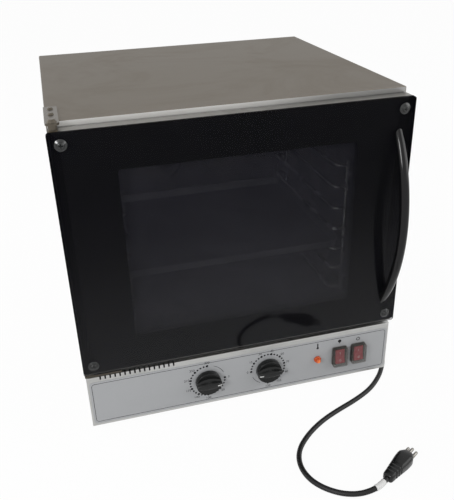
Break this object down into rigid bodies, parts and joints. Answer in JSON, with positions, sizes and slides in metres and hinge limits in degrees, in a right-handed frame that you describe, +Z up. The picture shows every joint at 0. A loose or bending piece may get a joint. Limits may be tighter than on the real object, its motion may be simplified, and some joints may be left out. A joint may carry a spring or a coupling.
{
  "type": "convection oven",
  "caption": "Countertop electric convection oven with a side-hung glass door, bow handle, dials, covered rocker switches, tray runners, fan, heating ring and mains lead.",
  "frame": {"origin": "on the floor below the middle of the oven, lead and plug left out", "axes": "+Z up, -Y towards the door and control panel, +X to the right seen from the front"},
  "size_m": [0.5654, 0.8352, 0.51],
  "materials": {
    "stainless": "brushed, dull",
    "panel_steel": "brushed",
    "galvanised": "galvanised sheet",
    "chamber_steel": "satin, heat tinted",
    "overlay_film": "printed grey film",
    "bright_steel": "polished",
    "hinge_steel": "satin",
    "bush_brass": "turned",
    "rack_wire": "bright wire",
    "tray_metal": "dull",
    "fan_metal": "dull",
    "heater_sheath": "dark oxide",
    "motor_metal": "laminated core",
    "wool": "glass wool",
    "tinted_glass": "tempered, smoked",
    "clear_glass": "tempered",
    "black_ink": "fired black print",
    "handle_black": "smooth",
    "knob_black": "fine moulded",
    "black_plastic": "moulded",
    "red_plastic": "gloss",
    "clear_silicone": "clear soft cover",
    "amber_lens": "amber",
    "pale_insulator": "moulded",
    "ceramic_socket": "glazed",
    "gasket_rubber": "matt",
    "foot_rubber": "matt",
    "magnet": "matt",
    "cord_rubber": "matt",
    "pin_brass": "nickel plated"
  },
  "bodies": {
    "cabinet": {"outer_wrap": "stainless", "base_pan": "galvanised", "control_panel": "panel_steel", "panel_overlay": "overlay_film", "rear_panel": "galvanised", "rear_panel_screws": "bright_steel", "front_frame": "stainless", "feet": "foot_rubber", "oven_chamber": "chamber_steel", "insulation_blanket": "wool", "rear_insulation": "wool", "fan_baffle": "chamber_steel", "fan_motor": "motor_metal", "heating_element": "heater_sheath", "oven_lamp_holder": "ceramic_socket", "oven_lamp_lens": "clear_glass", "tray_rack_left": "rack_wire", "tray_rack_right": "rack_wire", "upper_hinge_bracket": "hinge_steel", "lower_hinge_bracket": "hinge_steel", "upper_hinge_pin": "bright_steel", "lower_hinge_pin": "bright_steel", "hinge_bracket_screws": "bright_steel", "door_gasket": "gasket_rubber", "magnetic_catch": "magnet", "thermostat_body": "pale_insulator", "timer_body": "pale_insulator", "pilot_lamp_lens": "amber_lens", "pilot_lamp_body": "black_plastic", "switch_housing_left": "black_plastic", "switch_housing_right": "black_plastic", "switch_cover_left": "clear_silicone", "switch_cover_right": "clear_silicone", "terminal_block": "pale_insulator", "cable_gland": "black_plastic", "power_cord": "cord_rubber", "plug_body": "black_plastic", "plug_pins": "pin_brass"},
    "door": {"door_glass": "tinted_glass", "glass_border": "black_ink", "door_frame": "stainless", "inner_glass": "clear_glass", "inner_glass_clips": "hinge_steel", "glass_standoffs": "hinge_steel", "glass_washers": "bright_steel", "glass_screws": "bright_steel", "door_handle": "handle_black", "handle_screws": "bright_steel", "hinge_bushes": "bush_brass"},
    "thermostat_dial": {"thermostat_knob": "knob_black", "thermostat_shaft": "hinge_steel"},
    "timer_dial": {"timer_knob": "knob_black", "timer_shaft": "hinge_steel"},
    "left_rocker": {"switch_rocker_left": "red_plastic"},
    "right_rocker": {"switch_rocker_right": "red_plastic"},
    "fan": {"fan_impeller": "fan_metal", "fan_shaft": "hinge_steel"},
    "tray": {"baking_tray": "tray_metal"}
  },
  "joints": [
    {"name": "door_swing", "type": "hinge", "parent": "cabinet", "child": "door", "pos_m": [-0.245, -0.206, 0.307], "axis": [0, 0, -1], "range_deg": [0, 110]},
    {"name": "thermostat_turn", "type": "hinge", "parent": "cabinet", "child": "thermostat_dial", "pos_m": [-0.0647, -0.212, 0.062], "axis": [0, 1, 0], "range_deg": [0, 270]},
    {"name": "timer_turn", "type": "hinge", "parent": "cabinet", "child": "timer_dial", "pos_m": [0.0374, -0.212, 0.062], "axis": [0, 1, 0], "range_deg": [0, 270]},
    {"name": "left_rocker_tilt", "type": "hinge", "parent": "cabinet", "child": "left_rocker", "pos_m": [0.1636, -0.2138, 0.062], "axis": [1, 0, 0], "range_deg": [0, 16]},
    {"name": "right_rocker_tilt", "type": "hinge", "parent": "cabinet", "child": "right_rocker", "pos_m": [0.1972, -0.2138, 0.062], "axis": [1, 0, 0], "range_deg": [0, 16]},
    {"name": "fan_spin", "type": "hinge", "parent": "cabinet", "child": "fan", "pos_m": [0, 0.18, 0.305], "axis": [0, 1, 0], "continuous": true},
    {"name": "tray_slide", "type": "slide", "parent": "cabinet", "child": "tray", "axis": [0, -1, 0], "range_m": [0, 0.018]}
  ]
}
